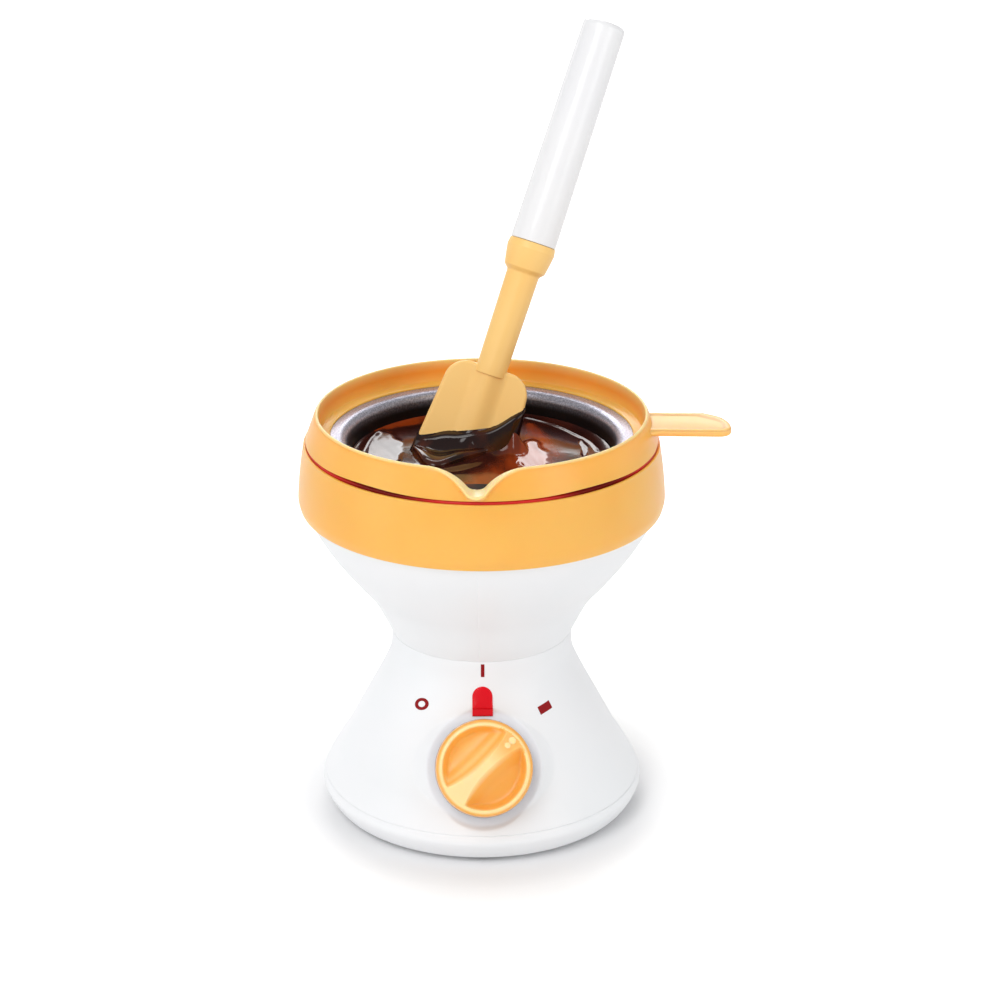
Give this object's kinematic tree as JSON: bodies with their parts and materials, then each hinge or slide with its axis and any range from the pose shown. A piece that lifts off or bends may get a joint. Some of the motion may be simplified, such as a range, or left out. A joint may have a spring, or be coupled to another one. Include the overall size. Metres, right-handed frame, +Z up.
{
  "type": "chocolate fondue pot",
  "caption": "Small electric fondue pot: flared base with rotary switch, heated collar, lift-out bowl with pouring spout and tab handle, and a spatula standing in the chocolate.",
  "frame": {"origin": "centre of the feet's standing plane, on the pot's axis", "axes": "+Z up along the pot's axis; the knob faces -Y; the pot's handle tab points to +X"},
  "size_m": [0.1754, 0.15, 0.3214],
  "materials": {
    "white_shell": "smooth, softly glossy",
    "white_handle": "smooth, glossy",
    "orange_plastic": "satin",
    "orange_blade": "satin",
    "red_seal": "satin",
    "grey_rubber": "matte",
    "black_bushing": "matte",
    "screw_steel": "zinc plated",
    "spacer_steel": "plain",
    "well_aluminium": "satin",
    "element_steel": "dull",
    "shield_steel": "galvanised",
    "thermostat_body": "satin",
    "fuse_body": "plain",
    "black_case": "matte",
    "brass_shaft": "plain",
    "red_lens": "glossy",
    "lamp_glass": "clear",
    "pale_block": "matte",
    "bowl_metal": "satin flange, dark non-stick inside",
    "clamp_aluminium": "satin",
    "chocolate": "wet and glossy"
  },
  "bodies": {
    "base": {"base_housing": "white_shell", "base_cover": "white_shell", "rubber_feet": "grey_rubber", "cover_screws": "screw_steel", "upper_housing": "white_shell", "waist_screws": "screw_steel", "heater_collar": "orange_plastic", "collar_screws": "screw_steel", "seal_ring": "red_seal", "heater_well": "well_aluminium", "well_screws": "screw_steel", "heating_element": "element_steel", "heat_shield": "shield_steel", "shield_studs": "screw_steel", "shield_spacers": "spacer_steel", "shield_nuts": "screw_steel", "thermostat": "thermostat_body", "thermal_fuse": "fuse_body", "fuse_clip": "spacer_steel", "switch_body": "black_case", "switch_nut": "screw_steel", "lamp_lens": "red_lens", "lamp_holder": "black_case", "indicator_lamp": "lamp_glass", "cord_gland": "black_bushing", "terminal_block": "pale_block"},
    "knob": {"control_knob": "orange_plastic", "switch_shaft": "brass_shaft"},
    "pot": {"pot_rim": "orange_plastic", "bowl": "bowl_metal", "bowl_clamp_ring": "clamp_aluminium", "melted_chocolate": "chocolate"},
    "spatula": {"spatula_handle": "white_handle", "spatula_shaft": "orange_plastic", "spatula_blade": "orange_blade"}
  },
  "joints": [
    {"name": "knob_turn", "type": "hinge", "parent": "base", "child": "knob", "pos_m": [0, -0.05299, 0.0381], "axis": [0, -0.887, 0.4617], "range_deg": [0, 90]},
    {"name": "pot_lift", "type": "slide", "parent": "base", "child": "pot", "axis": [0, 0, 1], "range_m": [0, 0.08]},
    {"name": "spatula_lift", "type": "slide", "parent": "pot", "child": "spatula", "axis": [0.3177, 0.2787, 0.9063], "range_m": [0, 0.1]}
  ]
}
